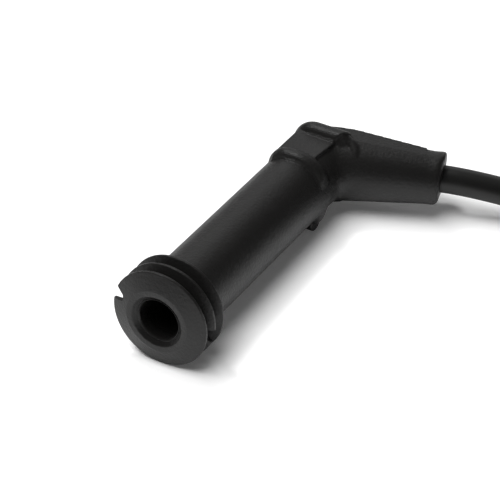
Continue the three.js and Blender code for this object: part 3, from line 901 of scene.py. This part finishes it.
def plug_boot():
    """The whole moulded plug boot as one solid."""
    steps = bpy.context.scene.plug_wire_boot.steps
    barrel = turned("plug_boot_moulding", barrel_profile(), steps)
    for index, angle in enumerate(NOTCH_ANGLES):
        combine(barrel, notch_cutter(angle, index), "DIFFERENCE")
    bend = combine(elbow(), tube("bend_bore", bend_path(), LEAD_BORE, 32), "DIFFERENCE")
    return combine(barrel, bend, "UNION")


def coil_boot():
    """Straight boot for the coil end, with a mouth bead, grip ribs and a narrower neck."""
    body, mouth, rib, neck = COIL_BOOT_RADIUS, COIL_MOUTH_RADIUS, COIL_RIB_RADIUS, COIL_NECK_RADIUS
    corners = [(neck, 0, 0.25), (mouth, 0, 0.9), (mouth, 3.0, 0.9), (body, 3.8, 0.6)]
    for i in range(3):
        y = 8 + 3 * i
        corners += [(body, y - 0.1, 0.4), (rib, y + 0.4, 0.35), (rib, y + 1.2, 0.35), (body, y + 1.7, 0.4)]
    corners += [
        (body, 25, 2.5), (neck, 28, 2.5), (5.8, 37, 0.5), (neck, 37.6, 0.4),
        (neck, COIL_BOOT_LENGTH, 0.6), (LEAD_BORE, COIL_BOOT_LENGTH, 0.3), (LEAD_BORE, 35.1, 0),
        (CHAMBER_RADIUS, 34.3, 0), (CHAMBER_RADIUS, 12.5, 0),
        (COIL_BORE_RADIUS, 12, 0), (COIL_BORE_RADIUS, 1, 0.3)]
    return turned("coil_boot_moulding", softened(corners), 96)


def coil_point(turn):
    """A point of the wound turns, from how far round the coil it is, in degrees."""
    angle = math.radians(COIL_START_ANGLE - turn)
    start, span = CLIMB
    height = LEAD_RADIUS
    for k in range(2):
        height += 2 * LEAD_RADIUS * rise((turn - start - 360 * k) / span)
    from_tie = (COIL_START_ANGLE - turn - TIE_ANGLE + 180) % 360 - 180
    height += TIE_LIFT * (1 - rise(abs(from_tie) / TIE_SPREAD))
    x, y = COIL_CENTRE
    return Vector((x + COIL_RADIUS * math.cos(angle), y + COIL_RADIUS * math.sin(angle), height))


def lead_path():
    """The lead's whole route in millimetres, from inside the sleeve to inside the coil boot."""
    to_floor = Matrix.Scale(1 / MM, 4) @ plug_matrix() @ Matrix.Scale(MM, 4)
    inside = to_floor @ on_sleeve(SLEEVE_LENGTH - INSIDE_SLEEVE, 0)
    leaving = to_floor @ on_sleeve(SLEEVE_LENGTH + PAST_SLEEVE, 0)
    end = Matrix.Scale(1 / MM, 4) @ coil_matrix() @ Matrix.Scale(MM, 4)
    mouth = end @ Vector((0, COIL_BOOT_LENGTH, 0))
    last = end @ Vector((0, COIL_BOOT_LENGTH - INSIDE_COIL_BOOT, 0))
    turns = [coil_point(turn) for turn in range(TURN_STEP, int(COIL_SWEEP), TURN_STEP)]
    points = [inside, leaving, *RUN_POINTS, *turns, *TAIL_POINTS, mouth, last]
    return smooth_path(points, LEAD_SPACING), to_floor @ on_sleeve(SLEEVE_LENGTH, 0)


class PLUGWIRE_OT_lead(bpy.types.Operator):
    """Lays the ignition lead from the plug boot through its coil to the coil boot"""

    bl_idname = "plugwire.lead"
    bl_label = "Lay the lead"

    def execute(self, context):
        path, leaving = lead_path()
        lead = tube("ignition_lead", path, LEAD_RADIUS, LEAD_SIDES)
        dress(lead, Matrix.Identity(4), lead_jacket())
        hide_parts("lead_run", "lead_coil", "lead_tail")
        length = sum((q - p).length for p, q in zip(path, path[1:])) * MM
        tuple(leaving * MM)
        [tuple(p * MM) for p in path]
        return {"FINISHED"}


class PLUGWIRE_OT_plug_boot(bpy.types.Operator):
    """Moulds the elbow boot with its sealing fins"""

    bl_idname = "plugwire.plug_boot"
    bl_label = "Mould the plug boot"

    def execute(self, context):
        boot = dress(plug_boot(), plug_matrix(), boot_rubber(), sharp=50)
        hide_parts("plug_boot")
        return {"FINISHED"}


class PLUGWIRE_OT_coil_boot(bpy.types.Operator):
    """Moulds the straight boot for the coil end"""

    bl_idname = "plugwire.coil_boot"
    bl_label = "Mould the coil boot"

    def execute(self, context):
        boot = dress(coil_boot(), coil_matrix(), bpy.data.materials["boot_rubber"])
        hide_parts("coil_boot")
        return {"FINISHED"}


class PLUGWIRE_OT_fittings(bpy.types.Operator):
    """Finishes the terminals, springs, cores, lead ends and tie"""

    bl_idname = "plugwire.fittings"
    bl_label = "Finish the fittings"

    def execute(self, context):
        finishes = {
            "terminal": metal("terminal_brass", (0.56, 0.47, 0.3), 0.3),
            "terminal_clip": metal("spring_steel", (0.55, 0.56, 0.57), 0.28),
            "lead_core": core_fibre(),
            "lead_end": bpy.data.materials["lead_jacket"],
        }
        for end in ("plug", "coil"):
            for part, finish in finishes.items():
                frame["nodes"][f"{end}_{part}"].data.materials[0] = finish
        frame["nodes"]["coil_tie"].data.materials[0] = tie_nylon()
        return {"FINISHED"}


class PLUGWIRE_OT_stage(bpy.types.Operator):
    """Sets the pale floor, the lights and the camera"""

    bl_idname = "plugwire.stage"
    bl_label = "Set the stage"

    def execute(self, context):
        add_camera()
        add_floor()
        add_lights()
        return {"FINISHED"}


def add_camera():
    """Camera of the photograph, found from its focal length and the front fin's place."""
    azimuth = math.radians(CAMERA_AZIMUTH)
    fall = math.radians(CAMERA_ELEVATION)
    right = Vector((math.cos(azimuth), math.sin(azimuth), 0))
    look = Vector((
        -math.sin(azimuth) * math.cos(fall), math.cos(azimuth) * math.cos(fall), -math.sin(fall)))
    up = right.cross(look)
    distance = CAMERA_DISTANCE * MM
    anchor = plug_matrix() @ Vector((0, FIN_SWEEP * MM, 0))
    across = (PHOTO_ANCHOR[0] - PHOTO_SIZE / 2) / PHOTO_FOCAL * distance
    below = (PHOTO_ANCHOR[1] - PHOTO_SIZE / 2) / PHOTO_FOCAL * distance
    data = bpy.data.cameras.new("camera")
    data.sensor_width = SENSOR
    data.lens = SENSOR * PHOTO_FOCAL / PHOTO_SIZE
    data.clip_start, data.clip_end = CLIPPING
    camera = bpy.data.objects.new("camera", data)
    bpy.context.scene.collection.objects.link(camera)
    camera.location = anchor - look * distance - right * across + up * below
    camera.rotation_euler = look.to_track_quat("-Z", "Y").to_euler()
    bpy.context.scene.camera = camera


def add_floor():
    """A pale floor that reads as white and keeps the shadow."""
    stage = bpy.context.scene.plug_wire_stage
    reach = FLOOR_REACH
    corners = [(-reach, -reach, 0), (reach, -reach, 0), (reach, reach, 0), (-reach, reach, 0)]
    floor = piece_from("floor", corners, [(0, 1, 2, 3)])
    finish = Finish("floor_white")
    level = stage.floor
    lit = finish.node("ShaderNodeBsdfDiffuse", {}, {"Color": (level, level, level, 1)})
    glow = finish.node("ShaderNodeEmission", {}, {"Color": (1, 1, 1, 1), "Strength": FLOOR_GLOW})
    white = finish.node("ShaderNodeBsdfDiffuse", {}, {"Color": (1, 1, 1, 1)})
    both = finish.node("ShaderNodeAddShader", {}, {0: white, 1: glow})
    ray = finish.node("ShaderNodeLightPath")
    shown = finish.node("ShaderNodeMixShader", {}, {0: ray, 1: lit, 2: both})
    finish.node("ShaderNodeOutputMaterial", {}, {0: shown})
    floor.data.materials.append(finish.material)


def add_lamp(name, place, size, power):
    """A rectangular lamp that points at the origin."""
    data = bpy.data.lights.new(name, "AREA")
    data.shape = "RECTANGLE"
    data.size, data.size_y = size
    data.energy = power
    lamp = bpy.data.objects.new(name, data)
    bpy.context.scene.collection.objects.link(lamp)
    lamp.location = place
    lamp.rotation_euler = (-Vector(place)).to_track_quat("-Z", "Y").to_euler()
    return lamp


def add_lights():
    """A soft light overhead that no gloss shows, a small one for the edges and a panel behind."""
    stage = bpy.context.scene.plug_wire_stage
    key = add_lamp("key", *KEY_LAMP, stage.key)
    key.visible_glossy = False
    add_lamp("edge", *EDGE_LAMP, stage.edge)
    add_lamp("back", *BACK_LAMP, stage.back)
    world = bpy.data.worlds.new("studio")
    bpy.context.scene.world = world
    world.use_nodes = True
    tree = world.node_tree
    tree.nodes.clear()
    light = tree.nodes.new("ShaderNodeBackground")
    white = tree.nodes.new("ShaderNodeBackground")
    ray = tree.nodes.new("ShaderNodeLightPath")
    mix = tree.nodes.new("ShaderNodeMixShader")
    out = tree.nodes.new("ShaderNodeOutputWorld")
    light.inputs["Strength"].default_value = WORLD_LIGHT
    for shade in (light, white):
        shade.inputs["Color"].default_value = (1, 1, 1, 1)
    tree.links.new(ray.outputs["Is Camera Ray"], mix.inputs[0])
    tree.links.new(light.outputs[0], mix.inputs[1])
    tree.links.new(white.outputs[0], mix.inputs[2])
    tree.links.new(mix.outputs[0], out.inputs[0])
    bpy.context.scene.view_settings.view_transform = "Standard"


class PLUGWIRE_PT_panel(bpy.types.Panel):
    """Lists the steps that make the plug wire"""

    bl_idname = "PLUGWIRE_PT_panel"
    bl_label = "Plug wire"
    bl_space_type = "VIEW_3D"
    bl_region_type = "UI"
    bl_category = "Plug wire"

    def draw(self, context):
        for group in ("plug_wire_boot", "plug_wire_lead", "plug_wire_stage"):
            settings = getattr(context.scene, group)
            for name in settings.bl_rna.properties.keys():
                if name not in ("rna_type", "name"):
                    self.layout.prop(settings, name)
        for step in STEPS:
            self.layout.operator(step.bl_idname)


GROUPS = {
    "plug_wire_boot": BootSettings,
    "plug_wire_lead": LeadSettings,
    "plug_wire_stage": StageSettings,
}
STEPS = (
    PLUGWIRE_OT_stage, PLUGWIRE_OT_plug_boot, PLUGWIRE_OT_coil_boot, PLUGWIRE_OT_lead,
    PLUGWIRE_OT_fittings,
)


def register():
    for kind in (*GROUPS.values(), *STEPS, PLUGWIRE_PT_panel):
        bpy.utils.register_class(kind)
    for name, kind in GROUPS.items():
        setattr(bpy.types.Scene, name, PointerProperty(type=kind))


def unregister():
    for name in GROUPS:
        delattr(bpy.types.Scene, name)
    for kind in (PLUGWIRE_PT_panel, *reversed(STEPS), *reversed(GROUPS.values())):
        bpy.utils.unregister_class(kind)


def main():
    register()
    for step in STEPS:
        group, name = step.bl_idname.split(".")
        getattr(getattr(bpy.ops, group), name)()


if __name__ == "__main__":
    main()
